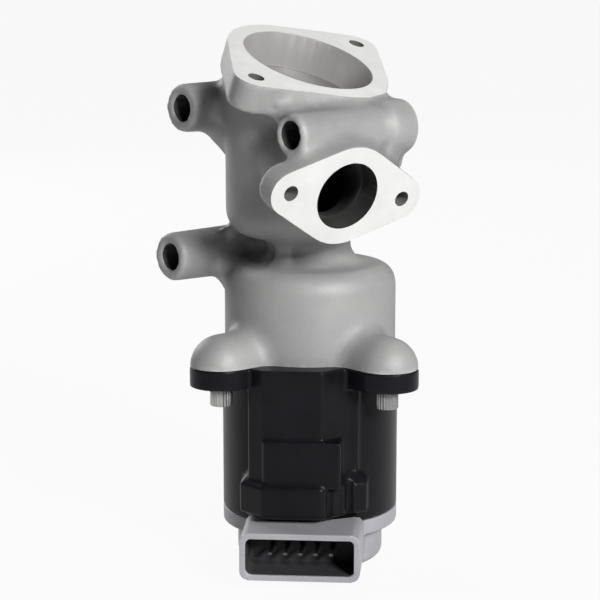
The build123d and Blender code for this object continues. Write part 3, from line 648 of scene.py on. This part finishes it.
# lug screws: splined heads with a hexagon socket
screw = {
    "head": 3.6 * mm, "height": 5.5 * mm, "seat": 61.5 * mm, "shading": 30,
    "ridges": 24, "grooveScale": 0.94, "edge": {"width": 0.35 * mm, "segments": 2, "angle": 60},
    "socket": 2 * mm, "socketDepth": 2.2 * mm,
    "shank": 2.45 * mm, "shankFoot": 61 * mm, "shankTop": 75.5 * mm,
    "azimuths": (-45, 45, 180), "circle": 37.3 * mm,
}


def isGroove(vertex):
    turn = Vector((vertex.co.x, vertex.co.y)).angle_signed(Vector((0, 1)))
    return round(turn / (pi / screw["ridges"])) % 2 == 1


def lugScrew():
    foot = Vector((0, 0, screw["seat"] - screw["height"]))
    head = addRod(foot, up, screw["height"], screw["head"], 2 * screw["ridges"])
    editSome(head, "VERT", isGroove)
    bpy.ops.transform.resize(
        value=(screw["grooveScale"], screw["grooveScale"], 1), center_override=(0, 0, 0))
    endEdit()
    bevel = head.modifiers.new("bevel", "BEVEL")
    bevel.width = screw["edge"]["width"]
    bevel.segments = screw["edge"]["segments"]
    bevel.limit_method = "ANGLE"
    bevel.angle_limit = radians(screw["edge"]["angle"])
    applyModifiers(head)
    settle(head)
    cutAway(head, [addRod(foot - up * mm, up, screw["socketDepth"] + mm, screw["socket"], 6)])
    shank = addRod(
        up * screw["shankFoot"], up, screw["shankTop"] - screw["shankFoot"], screw["shank"], 32)
    whole = joinPieces([head, shank], "lugScrew")
    roundShading(whole, screw["shading"])
    return whole


firstScrew = lugScrew()
screws = []
for angle in screw["azimuths"]:
    twin = firstScrew.copy()
    twin.data = firstScrew.data.copy()
    bpy.context.collection.objects.link(twin)
    twin.location = azimuth(angle) * screw["circle"]
    screws.append(twin)
bpy.data.objects.remove(firstScrew)
lugScrews = joinPieces(screws, "lugScrews")
dress(lugScrews, "zinc_steel")
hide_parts("motor_screws")
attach(lugScrews, "housing")
print("lug screws made:", len(lugScrews.data.polygons), "faces")

# the return spring, which stays fixed with the housing
spring = {"top": 89.8 * mm, "lift": 7 * mm, "shading": 40}
returnCoil = cleanCopy("return_spring", "returnCoil")
dress(returnCoil, "spring_steel")
roundShading(returnCoil, spring["shading"])
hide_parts("return_spring")
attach(returnCoil, "housing")
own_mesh(returnCoil)
print("spring made:", len(returnCoil.data.polygons), "faces")

# floor, light and camera
studio = {
    "floor": 14, "floorDrop": 0.2 * mm, "floorColour": (0.5, 0.5, 0.5, 1), "floorRoughness": 0.9,
    "glow": 0.94, "world": 0.02, "target": Vector((0, 0, 0.09)),
    "lamps": {
        "key": {"place": Vector((0.62, -0.93, 0.6)), "size": 0.3, "power": 15.5},
        "fill": {"place": Vector((-1, -0.3, 0.35)), "size": 0.5, "power": 0.1},
        "back": {"place": Vector((0.3, 0.8, 0.9)), "size": 0.8, "power": 2.2},
        "rim": {"place": Vector((-0.75, 0.85, 0.45)), "size": 0.6, "power": 8},
    },
    "camera": {"place": (0.0473, -0.6433, 0.2051), "turn": (79.5, 0, 4.5), "lens": 120, "sensor": 36},
}
bpy.ops.mesh.primitive_plane_add(size=studio["floor"], location=(0, 0, -studio["floorDrop"]))
floor = bpy.context.object
floor.name = "studioFloor"
paper = bpy.data.materials.new("paper")
paper.use_nodes = True
tree = paper.node_tree
sheet = tree.nodes["Principled BSDF"]
sheet.inputs["Base Color"].default_value = studio["floorColour"]
sheet.inputs["Roughness"].default_value = studio["floorRoughness"]
rays = addNode(tree, "ShaderNodeLightPath").outputs
seen = addNode(tree, "ShaderNodeMath", [
    (0, rays["Is Camera Ray"]), (1, rays["Is Glossy Ray"])], operation="MAXIMUM")
seenAll = addNode(tree, "ShaderNodeMath", [
    (0, seen.outputs[0]), (1, rays["Is Transmission Ray"])], operation="MAXIMUM")
share = addNode(tree, "ShaderNodeMath", [
    (0, seenAll.outputs[0]), (1, studio["glow"])], operation="MULTIPLY")
glow = addNode(tree, "ShaderNodeEmission", [("Strength", 1)])
mix = addNode(tree, "ShaderNodeMixShader", [
    (0, share.outputs[0]), (1, sheet.outputs[0]), (2, glow.outputs[0])])
tree.links.new(mix.outputs[0], tree.nodes["Material Output"].inputs["Surface"])
floor.data.materials.append(paper)

world = bpy.data.worlds.new("studioWorld")
bpy.context.scene.world = world
world.use_nodes = True
tree = world.node_tree
rays = addNode(tree, "ShaderNodeLightPath").outputs
background = tree.nodes["Background"].inputs
background["Color"].default_value = (1, 1, 1, 1)
tree.links.new(scaled(tree, rays["Is Camera Ray"], studio["world"], 1), background["Strength"])

for lampName, settings in studio["lamps"].items():
    bpy.ops.object.light_add(type="AREA", location=settings["place"])
    lamp = bpy.context.object
    lamp.name = lampName + "Lamp"
    lamp.data.size = settings["size"]
    lamp.data.energy = settings["power"]
    lamp.rotation_euler = (settings["place"] - studio["target"]).to_track_quat("Z", "Y").to_euler()

view = studio["camera"]
bpy.ops.object.camera_add(location=view["place"], rotation=[radians(turn) for turn in view["turn"]])
camera = bpy.context.object
camera.name = "viewCamera"
camera.data.lens = view["lens"]
camera.data.sensor_width = view["sensor"]
bpy.context.scene.camera = camera
bpy.context.scene.view_settings.view_transform = "Standard"
print("studio set")
